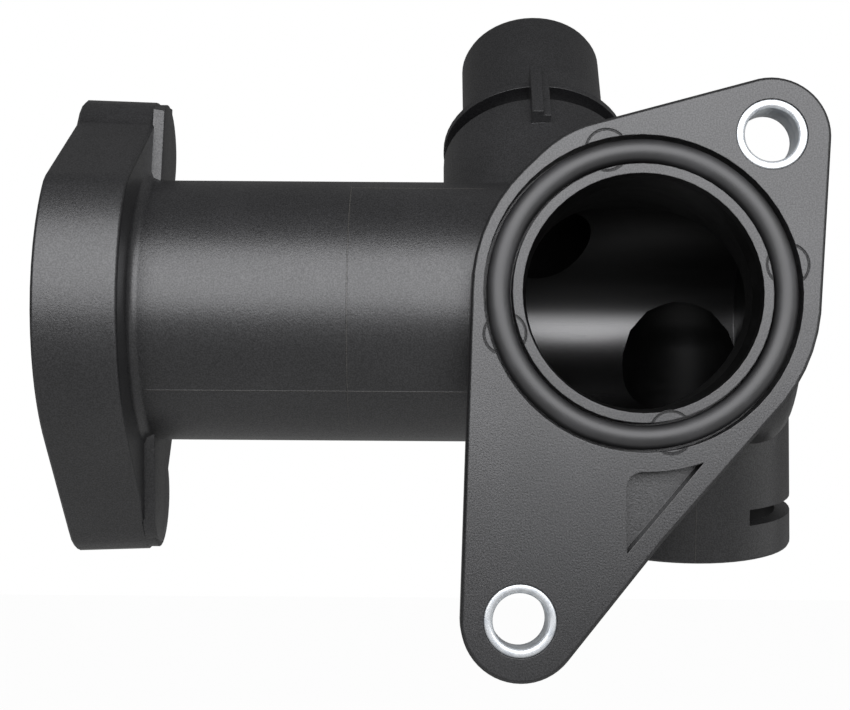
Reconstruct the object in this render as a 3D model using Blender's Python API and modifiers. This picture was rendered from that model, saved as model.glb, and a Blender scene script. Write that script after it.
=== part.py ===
"""Moulded coolant flange with an engine port, a flanged pipe, a hose nozzle and a sensor port.

The origin is the centre of the engine port on the engine plate's mating face.
-Y points out of that face, the pipe runs to -X, and +Z is up.
"""
import math
from typing import NamedTuple

import bmesh
import bpy
from mathutils import Matrix, Vector

MM = 0.001

# Fits
FIT_GAP = 0.3 * MM
PASS_THROUGH = 1.0 * MM
WELD_DISTANCE = 0.01 * MM

# Facets of round shapes
TURN_STEPS = 56
FINE_STEPS = 32
OUTLINE_STEPS = 108
ARC_STEPS = 2
CHAMBER_ARC_STEPS = 3
WALL_STEPS = 8
DOME_STEPS = 4
RING_SECTION_STEPS = 10

# Pipe and chamber, along X behind the engine plate
PIPE_DEPTH = 22.9 * MM
PIPE_DROP = 0.2 * MM
PIPE_RADIUS = 18.15 * MM
PIPE_BORE_RADIUS = 14.75 * MM
PIPE_FILLET = 1.3 * MM
CHAMBER_END_X = 22.2 * MM
CHAMBER_END_WALL = 3.0 * MM
CHAMBER_END_ROUND = 3.0 * MM

# Engine plate
PLATE_THICKNESS = 5.5 * MM
PLATE_RADIUS = 22.0 * MM
PLATE_OFFSET_X = 0.45 * MM
PLATE_EDGE_ROUND = 0.5 * MM
LUG_RADIUS = 7.45 * MM
UPPER_BOLT_X = 16.35 * MM
UPPER_BOLT_Z = 20.2 * MM
LOWER_BOLT_X = -15.35 * MM
LOWER_BOLT_Z = -40.8 * MM
UPPER_LUG_X = 16.45 * MM
UPPER_LUG_Z = 20.15 * MM
LOWER_LUG_X = -15.25 * MM
LOWER_LUG_Z = -41.0 * MM
SHOULDER_X = -2.25 * MM
SHOULDER_Z = 7.15 * MM
SHOULDER_RADIUS = 15.0 * MM
PLATE_WAIST = 0.5 * MM
PLATE_WAIST_SHARE = 0.45

# Engine port and its face seal
PORT_MOUTH_RADIUS = 15.13 * MM
PORT_MOUTH_DEPTH = 2.2 * MM
PORT_BORE_RADIUS = 14.5 * MM
PORT_NECK_RADIUS = 18.15 * MM
PORT_FILLET = 1.5 * MM
SEAL_RADIUS = 18.2 * MM
SEAL_SECTION = 2.9 * MM
SEAL_SIDE_GAP = 0.4 * MM
SEAL_RECESS = 0.15 * MM

# Weight-saving pocket in the engine plate
POCKET_DEPTH = 3.0 * MM
POCKET_RIM = 3.0 * MM
POCKET_WALL = 2.4 * MM
POCKET_LEFT_X = -2.2 * MM
POCKET_CORNER = 2.0 * MM

# Steel bushes of the engine plate
BUSH_RADIUS = 4.55 * MM
BUSH_BORE_RADIUS = 3.38 * MM
BUSH_BORE_CHAMFER = 0.35 * MM
BUSH_RIM_CHAMFER = 0.18 * MM
BUSH_RECESS = 0.05 * MM

# Pipe flange, whose mating face looks along -X
PIPE_FLANGE_X = -76.35 * MM
PIPE_FLANGE_THICKNESS = 10.8 * MM
PIPE_FLANGE_RADIUS = 24.85 * MM
PIPE_FLANGE_EDGE_ROUND = 0.5 * MM
PIPE_FLANGE_DRAFT = math.radians(1.5)
UPPER_WEB_RADIUS = 23.5 * MM
UPPER_WEB_END_RADIUS = 6.15 * MM
PIPE_BOLT_Y = 4.1 * MM
PIPE_UPPER_BOLT_Z = 23.4 * MM
PIPE_LOWER_BOLT_Z = -26.4 * MM
LUG_DOME_BASE = 0.9 * MM
LUG_DOME_HEIGHT = 1.4 * MM
LUG_DOME_RADIUS = 6.8 * MM
LUG_DOME_EDGE = 6.2 * MM
INSERT_RADIUS = 4.2 * MM
INSERT_BORE_RADIUS = 2.5 * MM
INSERT_LENGTH = 9.5 * MM
PIPE_SEAL_RADIUS = 17.15 * MM
PIPE_SEAL_SECTION = 1.8 * MM
PIPE_SEAL_SIDE_GAP = 0.3 * MM

# Hose nozzle, which rises behind the pipe
NOZZLE_X = -10.7 * MM
NOZZLE_RISE = math.radians(57.6)
NOZZLE_END = 50.5 * MM
SPIGOT_RADIUS = 10.9 * MM
SPIGOT_ROUND = 0.9 * MM
COLLAR_RADIUS = 13.95 * MM
COLLAR_TOP = 32.1 * MM
COLLAR_THICKNESS = 1.0 * MM
CLIP_GROOVE_RADIUS = 11.4 * MM
NECK_RADIUS = 13.95 * MM
NECK_TOP = 28.5 * MM
NOZZLE_ROOT_BORE_RADIUS = 7.4 * MM
NOZZLE_TIP_BORE_RADIUS = 8.2 * MM
KEY_BOTTOM = 23.6 * MM
KEY_TOP = 33.6 * MM
KEY_HEIGHT = 2.25 * MM
KEY_WIDTH = 1.6 * MM
KEY_STEP_WIDTH = 1.1 * MM
KEY_STEP_DROP = 0.8 * MM
KEY_STEP_LAP = 0.3 * MM

# Sensor port, a domed socket at the chamber's back whose mouth looks down
SENSOR_X = 11.0 * MM
SENSOR_DOME_Y = 35.0 * MM
SENSOR_DOME_Z = -5.2 * MM
SENSOR_LEAN = math.radians(11.8)
SENSOR_END = 27.3 * MM
SENSOR_DOME_RADIUS = 15.35 * MM
SENSOR_MOUTH_RADIUS = 16.5 * MM
SENSOR_BORE_RADIUS = 8.8 * MM
SENSOR_SEAT_RADIUS = 14.15 * MM
SENSOR_SEAT_DEPTH = 9.5 * MM
SENSOR_ROUND = 0.5 * MM
SENSOR_LEAD_IN = 0.5 * MM
CLIP_SLOT_HEIGHT = 2.25 * MM
CLIP_SLOT_CENTRE = 6.2 * MM
CLIP_SLOT_REACH = 7.6 * MM

PIPE_CENTRE = Vector((0.0, PIPE_DEPTH, -PIPE_DROP))
FACE_OUT = Vector((0.0, -1.0, 0.0))
PIPE_OUT = Vector((-1.0, 0.0, 0.0))
NOZZLE_OUT = Vector((0.0, math.cos(NOZZLE_RISE), math.sin(NOZZLE_RISE)))
SENSOR_OUT = Vector((0.0, math.sin(SENSOR_LEAN), -math.cos(SENSOR_LEAN)))


def clear_scene():
    """Remove every object that the file opened with."""
    for obj in list(bpy.data.objects):
        bpy.data.objects.remove(obj, do_unlink=True)


def new_collection(name, parent=None):
    """Add a collection to the scene or to another collection."""
    collection = bpy.data.collections.new(name)
    (parent or bpy.context.scene.collection).children.link(collection)
    return collection


def plain_material(name, colour, roughness, metallic):
    """Make a Principled material of one colour."""
    material = bpy.data.materials.new(name)
    material.use_nodes = True
    shader = material.node_tree.nodes["Principled BSDF"]
    shader.inputs["Base Color"].default_value = (*colour, 1.0)
    shader.inputs["Roughness"].default_value = roughness
    shader.inputs["Metallic"].default_value = metallic
    return material


def place_along(obj, origin, axis, side=None):
    """Turn the object's local Z to the axis and its local X to the side, and put it at the origin."""
    z_axis = axis.normalized()
    x_axis = side.normalized() if side else z_axis.orthogonal().normalized()
    y_axis = z_axis.cross(x_axis)
    turn = Matrix((x_axis, y_axis, z_axis)).transposed().to_4x4()
    obj.matrix_world = Matrix.Translation(origin) @ turn


def rounded(centre, radius, start, end, steps=ARC_STEPS):
    """Points of a small arc in a profile, from one angle to another in degrees."""
    points = []
    for step in range(steps + 1):
        angle = math.radians(start + (end - start) * step / steps)
        points.append((centre[0] + radius * math.cos(angle), centre[1] + radius * math.sin(angle)))
    return points


def turned(name, profile, origin, axis, ring=False, steps=TURN_STEPS):
    """Turn a profile of (radius, height) points, given from the top down its outer side."""
    mesh = bpy.data.meshes.new(name)
    edges = [(index, index + 1) for index in range(len(profile) - 1)]
    if ring:
        edges.append((len(profile) - 1, 0))
    mesh.from_pydata([(radius, 0.0, height) for radius, height in profile], edges, [])
    obj = bpy.data.objects.new(name, mesh)
    screw = obj.modifiers.new("turn", 'SCREW')
    screw.axis = 'Z'
    screw.steps = steps
    screw.render_steps = steps
    screw.use_merge_vertices = True
    screw.merge_threshold = 0.000001
    screw.use_smooth_shade = True
    place_along(obj, origin, axis)
    return obj


def cylinder_profile(radius, bottom, top):
    """Profile of a plain cylinder from its top to its bottom."""
    return [(0.0, top), (radius, top), (radius, bottom), (0.0, bottom)]


def circle_points(centre, radius):
    """Points round a circle in the plane of an outline."""
    points = []
    for index in range(TURN_STEPS):
        angle = 2.0 * math.pi * index / TURN_STEPS
        points.append((centre[0] + radius * math.cos(angle), centre[1] + radius * math.sin(angle)))
    return points


def hull_outline(circles):
    """Outline of a band stretched round several circles, counter-clockwise."""
    points = sorted(point for centre, radius in circles for point in circle_points(centre, radius))

    def half(ordered):
        chain = []
        for point in ordered:
            while len(chain) > 1 and turn_of(chain[-2], chain[-1], point) <= 0.0:
                chain.pop()
            chain.append(point)
        return chain[:-1]

    return half(points) + half(reversed(points))


def turn_of(first, second, third):
    """Twice the signed area of a triangle, positive for a left turn."""
    return ((second[0] - first[0]) * (third[1] - first[1])
            - (second[1] - first[1]) * (third[0] - first[0]))


def slab(name, outline, thickness, edge_round, origin, axis, side):
    """Flat slab with rounded edges, its outline given in the plane across the axis."""
    curve = bpy.data.curves.new(name, 'CURVE')
    curve.dimensions = '2D'
    curve.fill_mode = 'BOTH'
    curve.extrude = thickness / 2.0 - edge_round
    curve.bevel_depth = edge_round
    curve.bevel_resolution = 0
    curve.offset = -edge_round
    spline = curve.splines.new('POLY')
    spline.points.add(len(outline) - 1)
    for spline_point, (x, y) in zip(spline.points, outline):
        spline_point.co = (x, y, 0.0, 1.0)
    spline.use_cyclic_u = True
    source = bpy.data.objects.new(name, curve)
    bpy.context.scene.collection.objects.link(source)
    place_along(source, origin + axis * thickness / 2.0, axis, side)
    return curve_to_mesh(source)


def curve_to_mesh(source):
    """Replace a curve object by a closed mesh object of the same shape."""
    bpy.context.view_layer.update()
    evaluated = source.evaluated_get(bpy.context.evaluated_depsgraph_get())
    mesh = bpy.data.meshes.new_from_object(evaluated)
    welded = bmesh.new()
    welded.from_mesh(mesh)
    bmesh.ops.remove_doubles(welded, verts=welded.verts, dist=0.000001)
    bmesh.ops.recalc_face_normals(welded, faces=welded.faces)
    welded.to_mesh(mesh)
    welded.free()
    name = source.name
    placed = source.matrix_world.copy()
    bpy.data.objects.remove(source, do_unlink=True)
    obj = bpy.data.objects.new(name, mesh)
    obj.matrix_world = placed
    return obj


def box(name, size, centre, axis, side):
    """Box with its own X along the side direction and its own Z along the axis."""
    solid = bmesh.new()
    bmesh.ops.create_cube(solid, size=1.0)
    bmesh.ops.scale(solid, vec=size, verts=solid.verts)
    mesh = bpy.data.meshes.new(name)
    solid.to_mesh(mesh)
    solid.free()
    obj = bpy.data.objects.new(name, mesh)
    place_along(obj, centre, axis, side)
    return obj


def combine(target, tools, collection, operation):
    """Join or cut the target with a collection of construction bodies, which renders leave out."""
    for tool in tools:
        collection.objects.link(tool)
        tool.display_type = 'WIRE'
        tool.hide_render = True
    modifier = target.modifiers.new(collection.name, 'BOOLEAN')
    modifier.operation = operation
    modifier.solver = 'EXACT'
    modifier.operand_type = 'COLLECTION'
    modifier.collection = collection


def engine_plate():
    """Plate that bolts to the engine, its front face at Y = 0."""
    outline = hull_outline([
        ((PLATE_OFFSET_X, 0.0), PLATE_RADIUS),
        ((SHOULDER_X, SHOULDER_Z), SHOULDER_RADIUS),
        ((UPPER_LUG_X, UPPER_LUG_Z), LUG_RADIUS),
        ((LOWER_LUG_X, LOWER_LUG_Z), LUG_RADIUS),
    ])
    outline = waisted(outline, plate_edge_normal())
    back = Vector((0.0, PLATE_THICKNESS, 0.0))
    return slab("housing", outline, PLATE_THICKNESS, PLATE_EDGE_ROUND, back, FACE_OUT,
                Vector((1.0, 0.0, 0.0)))


def waisted(outline, normal):
    """Outline whose long edge on the side of the normal is bent slightly inwards."""
    edges = list(zip(outline, outline[1:] + outline[:1]))
    lengths = [(second[1] - first[1]) * normal.x - (second[0] - first[0]) * normal.y
               for first, second in edges]
    index = lengths.index(max(lengths))
    first, second = edges[index]
    bend = Vector(first).lerp(Vector(second), PLATE_WAIST_SHARE) - normal * PLATE_WAIST
    return outline[:index + 1] + [tuple(bend)] + outline[index + 1:]


def port_neck():
    """Short neck that joins the engine plate to the chamber, with a fillet behind the plate."""
    plate_middle = PLATE_THICKNESS / 2.0
    foot = PORT_NECK_RADIUS + PORT_FILLET
    fillet = rounded((foot, -PLATE_THICKNESS - PORT_FILLET), PORT_FILLET, 90.0, 180.0)
    profile = [(0.0, -plate_middle), (foot, -plate_middle)] + fillet
    profile += [(PORT_NECK_RADIUS, -PIPE_DEPTH), (0.0, -PIPE_DEPTH)]
    return turned("port_neck", profile, Vector(), FACE_OUT)


def pipe():
    """Pipe from inside the pipe flange to the chamber's closed end."""
    flange_back = PIPE_FLANGE_X + PIPE_FLANGE_THICKNESS
    flange_middle = PIPE_FLANGE_X + PIPE_FLANGE_THICKNESS / 2.0
    foot = PIPE_RADIUS + PIPE_FILLET
    end_round = rounded((PIPE_RADIUS - CHAMBER_END_ROUND, CHAMBER_END_X - CHAMBER_END_ROUND),
                        CHAMBER_END_ROUND, 90.0, 0.0, CHAMBER_ARC_STEPS)
    fillet = rounded((foot, flange_back + PIPE_FILLET), PIPE_FILLET, 180.0, 270.0)
    profile = [(0.0, CHAMBER_END_X)] + end_round + fillet
    profile += [(foot, flange_middle), (0.0, flange_middle)]
    return turned("pipe", profile, PIPE_CENTRE, -PIPE_OUT)


def crossing(outline, direction):
    """Distance from the middle to an outline's farthest crossing along a direction."""
    farthest = 0.0
    for first, second in zip(outline, outline[1:] + outline[:1]):
        first_side = turn_of((0.0, 0.0), direction, first)
        second_side = turn_of((0.0, 0.0), direction, second)
        if first_side * second_side > 0.0 or first_side == second_side:
            continue
        share = first_side / (first_side - second_side)
        point = Vector(first).lerp(Vector(second), share)
        farthest = max(farthest, point.dot(Vector(direction)))
    return farthest


def merged_outline(outlines):
    """Outer outline of several overlapping ones, seen from the middle."""
    points = []
    for index in range(OUTLINE_STEPS):
        angle = 2.0 * math.pi * index / OUTLINE_STEPS
        direction = (math.cos(angle), math.sin(angle))
        radius = max(crossing(outline, direction) for outline in outlines)
        points.append((radius * direction[0], radius * direction[1]))
    return points


def trimmed(outline, normal, distance):
    """Part of a convex outline that lies no farther than a distance along a normal."""
    points = []
    for first, second in zip(outline, outline[1:] + outline[:1]):
        first_excess = Vector(first).dot(normal) - distance
        second_excess = Vector(second).dot(normal) - distance
        if first_excess <= 0.0:
            points.append(first)
        if first_excess * second_excess < 0.0:
            share = first_excess / (first_excess - second_excess)
            points.append(tuple(Vector(first).lerp(Vector(second), share)))
    return points


def pipe_flange_outline(upper, lower):
    """Outline of the pipe flange: a disc with two lugs, trimmed flat towards the upper lug."""
    disc = hull_outline([((0.0, 0.0), PIPE_FLANGE_RADIUS), (lower, LUG_RADIUS)])
    flat = tangent_normal(Vector(upper), UPPER_WEB_RADIUS - UPPER_WEB_END_RADIUS, 1.0)
    return merged_outline([
        trimmed(disc, flat, UPPER_WEB_RADIUS),
        hull_outline([((0.0, 0.0), UPPER_WEB_RADIUS), (upper, UPPER_WEB_END_RADIUS)]),
        circle_points(upper, LUG_RADIUS),
    ])


def draft(obj, thickness, radius, angle):
    """Taper a slab towards its back, as a mould's draft does."""
    for vertex in obj.data.vertices:
        height = (thickness / 2.0 - vertex.co.z) / thickness
        scale = 1.0 - math.tan(angle) * thickness * (1.0 - height) / radius
        vertex.co.x *= scale
        vertex.co.y *= scale


def pipe_flange_forms():
    """Plate of the pipe flange, with its disc, webs and lugs, and the two domes behind the lugs."""
    back = PIPE_CENTRE + Vector((PIPE_FLANGE_X, 0.0, 0.0))
    upper = (PIPE_BOLT_Y, PIPE_UPPER_BOLT_Z)
    lower = (PIPE_BOLT_Y, PIPE_LOWER_BOLT_Z)
    plate = slab("pipe_flange", pipe_flange_outline(upper, lower), PIPE_FLANGE_THICKNESS,
                 PIPE_FLANGE_EDGE_ROUND, back, -PIPE_OUT, Vector((0.0, 1.0, 0.0)))
    draft(plate, PIPE_FLANGE_THICKNESS, PIPE_FLANGE_RADIUS, PIPE_FLANGE_DRAFT)
    forms = [plate]
    for name, (y, z) in (("upper_lug_dome", upper), ("lower_lug_dome", lower)):
        forms.append(turned(name, lug_dome_profile(), back + Vector((0.0, y, z)), -PIPE_OUT,
                            steps=FINE_STEPS))
    return forms


def lug_dome_profile():
    """Low domed pad behind a lug, which starts inside the flange."""
    shoulder = PIPE_FLANGE_THICKNESS + LUG_DOME_BASE
    rise = LUG_DOME_HEIGHT - LUG_DOME_BASE
    crown = []
    for step in range(DOME_STEPS + 1):
        angle = math.pi / 2.0 * (1.0 - step / DOME_STEPS)
        crown.append((LUG_DOME_EDGE * math.cos(angle), shoulder + rise * math.sin(angle)))
    crown[0] = (0.0, shoulder + rise)
    profile = crown + [(LUG_DOME_RADIUS, shoulder), (LUG_DOME_RADIUS, PIPE_FLANGE_THICKNESS / 2.0)]
    return profile + [(0.0, PIPE_FLANGE_THICKNESS / 2.0)]


def nozzle():
    """Neck, clip groove, collar and spigot of the hose nozzle."""
    tip = rounded((SPIGOT_RADIUS - SPIGOT_ROUND, NOZZLE_END - SPIGOT_ROUND), SPIGOT_ROUND, 90.0, 0.0)
    collar_bottom = COLLAR_TOP - COLLAR_THICKNESS
    profile = [(0.0, NOZZLE_END)] + tip
    profile += [(SPIGOT_RADIUS, COLLAR_TOP), (COLLAR_RADIUS, COLLAR_TOP), (COLLAR_RADIUS, collar_bottom)]
    profile += [(CLIP_GROOVE_RADIUS, collar_bottom), (CLIP_GROOVE_RADIUS, NECK_TOP)]
    profile += [(NECK_RADIUS, NECK_TOP), (NECK_RADIUS, 0.0), (0.0, 0.0)]
    return turned("nozzle", profile, nozzle_point(0.0), NOZZLE_OUT)


def nozzle_point(height, side=0.0, lift=0.0):
    """Point at a height along the nozzle, to one side of its axis and lifted towards its front."""
    front = Vector((0.0, -math.sin(NOZZLE_RISE), math.cos(NOZZLE_RISE)))
    middle = PIPE_CENTRE + Vector((NOZZLE_X, 0.0, 0.0))
    return middle + NOZZLE_OUT * height + Vector((side, 0.0, 0.0)) + front * lift


def coding_key():
    """Two-step coding key on the front of the nozzle, across the clip groove."""
    foot = NOZZLE_TIP_BORE_RADIUS + PASS_THROUGH
    high = NECK_RADIUS + KEY_HEIGHT
    low_width = KEY_STEP_WIDTH + KEY_STEP_LAP
    steps = (
        ("key_high", -KEY_WIDTH / 2.0, KEY_WIDTH, high),
        ("key_low", low_width / 2.0 - KEY_STEP_LAP, low_width, high - KEY_STEP_DROP),
    )
    forms = []
    for name, side, width, top in steps:
        size = (width, top - foot, KEY_TOP - KEY_BOTTOM)
        centre = nozzle_point((KEY_TOP + KEY_BOTTOM) / 2.0, side, (top + foot) / 2.0)
        forms.append(box(name, size, centre, NOZZLE_OUT, Vector((1.0, 0.0, 0.0))))
    return forms


def lower_dome(radius):
    """Points of a dome's quarter circle, from its edge at height 0 down to its pole."""
    points = []
    for step in range(DOME_STEPS):
        angle = math.pi / 2.0 * step / DOME_STEPS
        points.append((radius * math.cos(angle), -radius * math.sin(angle)))
    return points + [(0.0, -radius)]


def sensor_port():
    """Domed socket for the plugged-in sensor."""
    rim = rounded((SENSOR_MOUTH_RADIUS - SENSOR_ROUND, SENSOR_END - SENSOR_ROUND), SENSOR_ROUND,
                  90.0, 0.0)
    profile = [(0.0, SENSOR_END)] + rim + lower_dome(SENSOR_DOME_RADIUS)
    return turned("sensor_port", profile, sensor_point(0.0), SENSOR_OUT)


def sensor_point(distance):
    """Point on the sensor port's axis, from the dome's centre towards the mouth."""
    return Vector((SENSOR_X, SENSOR_DOME_Y, SENSOR_DOME_Z)) + SENSOR_OUT * distance


def bore_cutters():
    """Bores of the pipe, the engine port, the nozzle and the sensor port."""
    pipe_reach = CHAMBER_END_X - CHAMBER_END_WALL
    port_step = [(0.0, PASS_THROUGH), (PORT_MOUTH_RADIUS, PASS_THROUGH),
                 (PORT_MOUTH_RADIUS, -PORT_MOUTH_DEPTH), (PORT_BORE_RADIUS, -PORT_MOUTH_DEPTH),
                 (PORT_BORE_RADIUS, -PIPE_DEPTH), (0.0, -PIPE_DEPTH)]
    nozzle_bore = [(0.0, NOZZLE_END + PASS_THROUGH), (NOZZLE_TIP_BORE_RADIUS, NOZZLE_END + PASS_THROUGH),
                   (NOZZLE_ROOT_BORE_RADIUS, 0.0), (0.0, 0.0)]
    sensor_mouth = SENSOR_SEAT_RADIUS + SENSOR_LEAD_IN + PASS_THROUGH
    sensor_bore = [(0.0, SENSOR_END + PASS_THROUGH), (sensor_mouth, SENSOR_END + PASS_THROUGH),
                   (SENSOR_SEAT_RADIUS, SENSOR_END - SENSOR_LEAD_IN),
                   (SENSOR_SEAT_RADIUS, SENSOR_END - SENSOR_SEAT_DEPTH),
                   (SENSOR_BORE_RADIUS, SENSOR_END - SENSOR_SEAT_DEPTH)]
    sensor_bore += lower_dome(SENSOR_BORE_RADIUS)
    return [
        turned("pipe_bore", cylinder_profile(PIPE_BORE_RADIUS, PIPE_FLANGE_X - PASS_THROUGH, pipe_reach),
               PIPE_CENTRE, -PIPE_OUT),
        turned("port_bore", port_step, Vector(), FACE_OUT),
        turned("nozzle_bore", nozzle_bore, nozzle_point(0.0), NOZZLE_OUT, steps=FINE_STEPS),
        turned("sensor_bore", sensor_bore, sensor_point(0.0), SENSOR_OUT),
    ]


def seal_groove(name, radius, section, side_gap, face, axis):
    """Cutter for a square groove round a port, open at the face."""
    half_width = section / 2.0 + side_gap
    depth = section + SEAL_RECESS + FIT_GAP
    inner = radius - half_width
    outer = radius + half_width
    profile = [(inner, PASS_THROUGH), (outer, PASS_THROUGH), (outer, -depth), (inner, -depth)]
    return turned(name, profile, face, axis, ring=True)


def pocket_outline():
    """Three-cornered pocket: an arc round the groove, a left wall and a wall along the plate's edge."""
    edge_direction = plate_edge_normal()
    edge_distance = edge_direction.dot(Vector((LOWER_LUG_X, LOWER_LUG_Z))) + LUG_RADIUS - POCKET_RIM
    arc_radius = SEAL_RADIUS + SEAL_SECTION / 2.0 + SEAL_SIDE_GAP + POCKET_WALL
    edge_angle = math.atan2(edge_direction.y, edge_direction.x)
    right_angle = edge_angle - math.acos(edge_distance / arc_radius)
    corner_radius = arc_radius + POCKET_CORNER
    corner_x = POCKET_LEFT_X + POCKET_CORNER
    corner_z = -math.sqrt(corner_radius ** 2 - corner_x ** 2)
    corner_angle = math.atan2(corner_z, corner_x)
    bottom_z = -(edge_direction.x * POCKET_LEFT_X - edge_distance) / edge_direction.y
    points = [(POCKET_LEFT_X, bottom_z)]
    for step in range(WALL_STEPS + 1):
        angle = right_angle + (corner_angle - right_angle) * step / WALL_STEPS
        points.append((arc_radius * math.cos(angle), arc_radius * math.sin(angle)))
    towards_port = corner_angle + math.pi
    for step in range(1, WALL_STEPS + 1):
        angle = towards_port + (math.pi - towards_port) * step / WALL_STEPS
        points.append((corner_x + POCKET_CORNER * math.cos(angle),
                       corner_z + POCKET_CORNER * math.sin(angle)))
    return points


def plate_edge_normal():
    """Outward direction of the plate's long lower edge, tangent to the port round and the lower lug."""
    between = Vector((LOWER_LUG_X - PLATE_OFFSET_X, LOWER_LUG_Z))
    return tangent_normal(between, PLATE_RADIUS - LUG_RADIUS, 1.0)


def tangent_normal(between, radius_drop, side):
    """Outward direction of the straight edge that touches two circles, on one side of their centres."""
    centre_angle = math.atan2(between.y, between.x)
    spread = side * math.acos(radius_drop / between.length)
    return Vector((math.cos(centre_angle + spread), math.sin(centre_angle + spread)))


def pocket_cutter():
    """Cutter for the pocket in the plate's front."""
    height = POCKET_DEPTH + PASS_THROUGH
    floor = Vector((0.0, POCKET_DEPTH, 0.0))
    return slab("pocket", pocket_outline(), height, 0.0, floor, FACE_OUT, Vector((1.0, 0.0, 0.0)))


class Bush(NamedTuple):
    """A steel bush or threaded insert, and the depth of the hole that holds it."""

    name: str
    face: Vector
    axis: Vector
    length: float
    radius: float
    bore_radius: float
    hole_depth: float


def bushes():
    """The through bushes of the engine plate and the blind threaded inserts of the pipe flange."""
    upper = Vector((UPPER_BOLT_X, 0.0, UPPER_BOLT_Z))
    lower = Vector((LOWER_BOLT_X, 0.0, LOWER_BOLT_Z))
    pipe_face = PIPE_CENTRE + Vector((PIPE_FLANGE_X, PIPE_BOLT_Y, 0.0))
    pipe_upper = pipe_face + Vector((0.0, 0.0, PIPE_UPPER_BOLT_Z))
    pipe_lower = pipe_face + Vector((0.0, 0.0, PIPE_LOWER_BOLT_Z))
    bush = (PLATE_THICKNESS, BUSH_RADIUS, BUSH_BORE_RADIUS, PLATE_THICKNESS + PASS_THROUGH)
    insert = (INSERT_LENGTH, INSERT_RADIUS, INSERT_BORE_RADIUS, INSERT_LENGTH + FIT_GAP)
    return [
        Bush("upper_plate_bush", upper, FACE_OUT, *bush),
        Bush("lower_plate_bush", lower, FACE_OUT, *bush),
        Bush("upper_pipe_flange_insert", pipe_upper, PIPE_OUT, *insert),
        Bush("lower_pipe_flange_insert", pipe_lower, PIPE_OUT, *insert),
    ]


def bush_hole(bush):
    """Cutter for the hole that holds a bush or an insert."""
    profile = cylinder_profile(bush.radius + FIT_GAP, -bush.hole_depth, PASS_THROUGH)
    return turned(f"{bush.name}_hole", profile, bush.face, bush.axis, steps=FINE_STEPS)


def steel_bush(bush):
    """Turned steel bush or insert, chamfered inside and outside, just below its face."""
    top = -BUSH_RECESS
    bottom = -bush.length + BUSH_RECESS
    bore = bush.bore_radius
    mouth = bore + BUSH_BORE_CHAMFER
    rim = bush.radius - BUSH_RIM_CHAMFER
    profile = [
        (mouth, top), (rim, top),
        (bush.radius, top - BUSH_RIM_CHAMFER), (bush.radius, bottom + BUSH_RIM_CHAMFER),
        (rim, bottom), (mouth, bottom),
        (bore, bottom + BUSH_BORE_CHAMFER), (bore, top - BUSH_BORE_CHAMFER),
    ]
    return turned(bush.name, profile, bush.face, bush.axis, ring=True, steps=FINE_STEPS)


def seal_ring(name, radius, section, face, axis):
    """Round rubber ring that lies in its groove just below the face."""
    profile = []
    for index in range(RING_SECTION_STEPS):
        angle = math.radians(90.0 - 360.0 * index / RING_SECTION_STEPS)
        profile.append((radius + section / 2.0 * math.cos(angle), section / 2.0 * math.sin(angle)))
    centre = face - axis * (section / 2.0 + SEAL_RECESS)
    return turned(name, profile, centre, axis, ring=True)


def clip_slots():
    """Two straight slots across the sensor port's sides, which open into its bore."""
    centre = sensor_point(SENSOR_END - CLIP_SLOT_CENTRE)
    width = SENSOR_MOUTH_RADIUS - CLIP_SLOT_REACH + PASS_THROUGH
    length = 2.0 * (SENSOR_MOUTH_RADIUS + PASS_THROUGH)
    slots = []
    for name, side in (("left_clip_slot", -1.0), ("right_clip_slot", 1.0)):
        offset = Vector((side * (CLIP_SLOT_REACH + width / 2.0), 0.0, 0.0))
        slots.append(box(name, (width, length, CLIP_SLOT_HEIGHT), centre + offset, SENSOR_OUT,
                         Vector((1.0, 0.0, 0.0))))
    return slots


def build_housing(parts, construction, material):
    """Join the moulded forms, then cut the bores, grooves, holes, pocket and slots."""
    housing = engine_plate()
    parts.objects.link(housing)
    forms = [port_neck(), pipe()] + pipe_flange_forms()
    forms += [nozzle()] + coding_key() + [sensor_port()]
    pipe_face = PIPE_CENTRE + Vector((PIPE_FLANGE_X, 0.0, 0.0))
    cutters = bore_cutters() + clip_slots() + [
        seal_groove("engine_groove", SEAL_RADIUS, SEAL_SECTION, SEAL_SIDE_GAP, Vector(), FACE_OUT),
        seal_groove("pipe_groove", PIPE_SEAL_RADIUS, PIPE_SEAL_SECTION, PIPE_SEAL_SIDE_GAP,
                    pipe_face, PIPE_OUT),
        pocket_cutter(),
    ]
    cutters += [bush_hole(bush) for bush in bushes()]
    combine(housing, forms, new_collection("moulded_forms", construction), 'UNION')
    combine(housing, cutters, new_collection("cutters", construction), 'DIFFERENCE')
    weld = housing.modifiers.new("weld", 'WELD')
    weld.merge_threshold = WELD_DISTANCE
    housing.data.materials.append(material)


def build_small_parts(parts, steel, rubber):
    """Add the steel bushes, the threaded inserts and the two rubber rings."""
    pipe_face = PIPE_CENTRE + Vector((PIPE_FLANGE_X, 0.0, 0.0))
    pieces = [(steel_bush(bush), steel) for bush in bushes()]
    pieces.append((seal_ring("engine_port_seal", SEAL_RADIUS, SEAL_SECTION, Vector(), FACE_OUT), rubber))
    pieces.append((seal_ring("pipe_flange_seal", PIPE_SEAL_RADIUS, PIPE_SEAL_SECTION, pipe_face,
                             PIPE_OUT), rubber))
    for piece, material in pieces:
        piece.data.materials.append(material)
        parts.objects.link(piece)


def main():
    """Build the whole flange."""
    clear_scene()
    parts = new_collection("coolant_flange")
    construction = new_collection("construction")
    plastic = plain_material("glass_filled_plastic", (0.055, 0.056, 0.06), 0.55, 0.0)
    steel = plain_material("plated_steel", (0.62, 0.66, 0.72), 0.3, 1.0)
    rubber = plain_material("black_rubber", (0.012, 0.012, 0.012), 0.45, 0.0)
    build_housing(parts, construction, plastic)
    build_small_parts(parts, steel, rubber)


main()
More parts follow.
